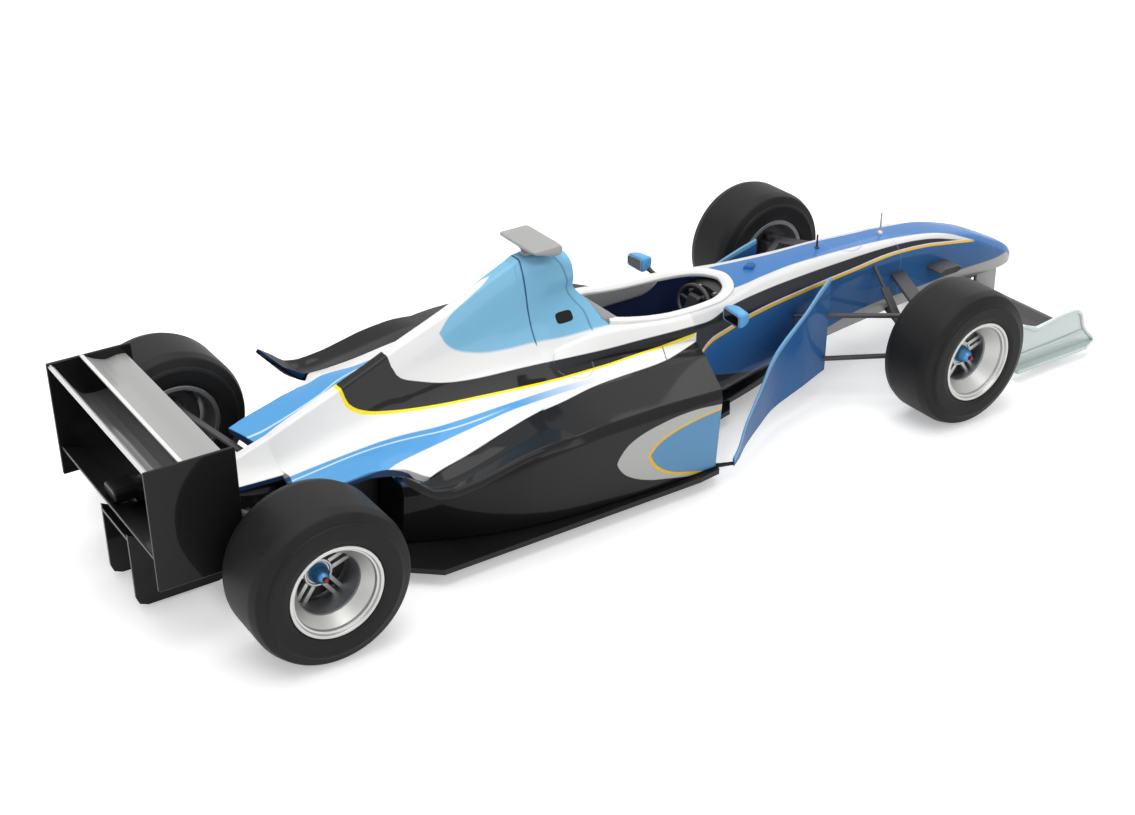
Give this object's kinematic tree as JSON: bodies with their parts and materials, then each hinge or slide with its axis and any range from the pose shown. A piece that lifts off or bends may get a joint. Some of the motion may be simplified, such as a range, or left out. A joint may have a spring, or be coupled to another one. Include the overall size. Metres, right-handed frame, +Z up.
{
  "type": "open-wheel racing car scale model",
  "caption": "1:18 display model of an open-wheel racing car with high nose, open cockpit, airbox, sidepods, front and rear wings, rolling wheels and steered front wheels.",
  "frame": {"origin": "on the ground, below the middle of the length and width", "axes": "+Z up, the nose points to -Y, +X is the left side of the car"},
  "size_m": [0.0968, 0.2612, 0.057],
  "materials": {
    "tyre": "satin black slick tyre",
    "rim": "satin silver",
    "wheel_nut": "metallic blue with a red tip",
    "suspension": "satin dark grey",
    "blue_paint": "metallic blue lacquer with white, black and yellow stripes",
    "light_blue_paint": "light metallic blue lacquer",
    "white_paint": "pearl white lacquer",
    "black_gloss": "gloss black lacquer",
    "black_plastic": "satin black",
    "silver_paint": "satin silver",
    "grey_pad": "mid-grey foam look",
    "red_lens": "dark red lens",
    "trim": "dark grey"
  },
  "bodies": {
    "root": {"airbox": "light_blue_paint", "bargeboard_left": "blue_paint", "bargeboard_right": "blue_paint", "cockpit_tub": "blue_paint", "diffuser": "black_plastic", "engine": "black_plastic", "engine_cover": "white_paint", "flip_up_left": "black_gloss", "flip_up_right": "black_gloss", "floor": "black_plastic", "front_suspension_left": "suspension", "front_suspension_right": "suspension", "front_wing_endplate_left": "silver_paint", "front_wing_endplate_right": "silver_paint", "front_wing_flap": "black_gloss", "front_wing_mainplane": "silver_paint", "front_wing_pylons": "silver_paint", "gearbox": "black_plastic", "headrest": "grey_pad", "mirror_left": "blue_paint", "mirror_right": "blue_paint", "nose_camera_pods": "black_plastic", "nose_cone": "blue_paint", "nose_probe": "trim", "plank": "black_plastic", "rain_light": "red_lens", "rear_lower_wing": "black_plastic", "rear_suspension_left": "suspension", "rear_suspension_right": "suspension", "rear_upright_left": "suspension", "rear_upright_right": "suspension", "rear_wing_endplate_left": "black_plastic", "rear_wing_endplate_right": "black_plastic", "rear_wing_flap": "silver_paint", "rear_wing_mainplane": "silver_paint", "roof_camera": "silver_paint", "seat": "black_plastic", "sidepod_left": "black_gloss", "sidepod_right": "black_gloss", "steering_wheel": "black_plastic", "tub_aerial": "trim"},
    "front_upright_right": {"front_upright_right": "suspension"},
    "front_upright_left": {"front_upright_left": "suspension"},
    "front_wheel_right": {"front_tyre_right": "tyre", "front_rim_right": "rim", "front_wheel_nut_right": "wheel_nut"},
    "front_wheel_left": {"front_tyre_left": "tyre", "front_rim_left": "rim", "front_wheel_nut_left": "wheel_nut"},
    "rear_wheel_right": {"rear_tyre_right": "tyre", "rear_rim_right": "rim", "rear_wheel_nut_right": "wheel_nut"},
    "rear_wheel_left": {"rear_tyre_left": "tyre", "rear_rim_left": "rim", "rear_wheel_nut_left": "wheel_nut"}
  },
  "joints": [
    {"name": "steer_right", "type": "hinge", "parent": "root", "child": "front_upright_right", "pos_m": [-0.0322, -0.072, 0.0174], "axis": [0, 0, 1], "range_deg": [-15, 15]},
    {"name": "steer_left", "type": "hinge", "parent": "root", "child": "front_upright_left", "pos_m": [0.0322, -0.072, 0.0174], "axis": [0, 0, 1], "range_deg": [-15, 15]},
    {"name": "front_roll_right", "type": "hinge", "parent": "front_upright_right", "child": "front_wheel_right", "pos_m": [-0.0468, -0.072, 0.0174], "axis": [1, 0, 0], "continuous": true},
    {"name": "front_roll_left", "type": "hinge", "parent": "front_upright_left", "child": "front_wheel_left", "pos_m": [0.0468, -0.072, 0.0174], "axis": [1, 0, 0], "continuous": true},
    {"name": "rear_roll_right", "type": "hinge", "parent": "root", "child": "rear_wheel_right", "pos_m": [-0.048, 0.1024, 0.0174], "axis": [1, 0, 0], "continuous": true},
    {"name": "rear_roll_left", "type": "hinge", "parent": "root", "child": "rear_wheel_left", "pos_m": [0.048, 0.1024, 0.0174], "axis": [1, 0, 0], "continuous": true}
  ],
  "couplings": [
    {"joint": "steer_left", "follows": "steer_right", "ratio": 1}
  ]
}
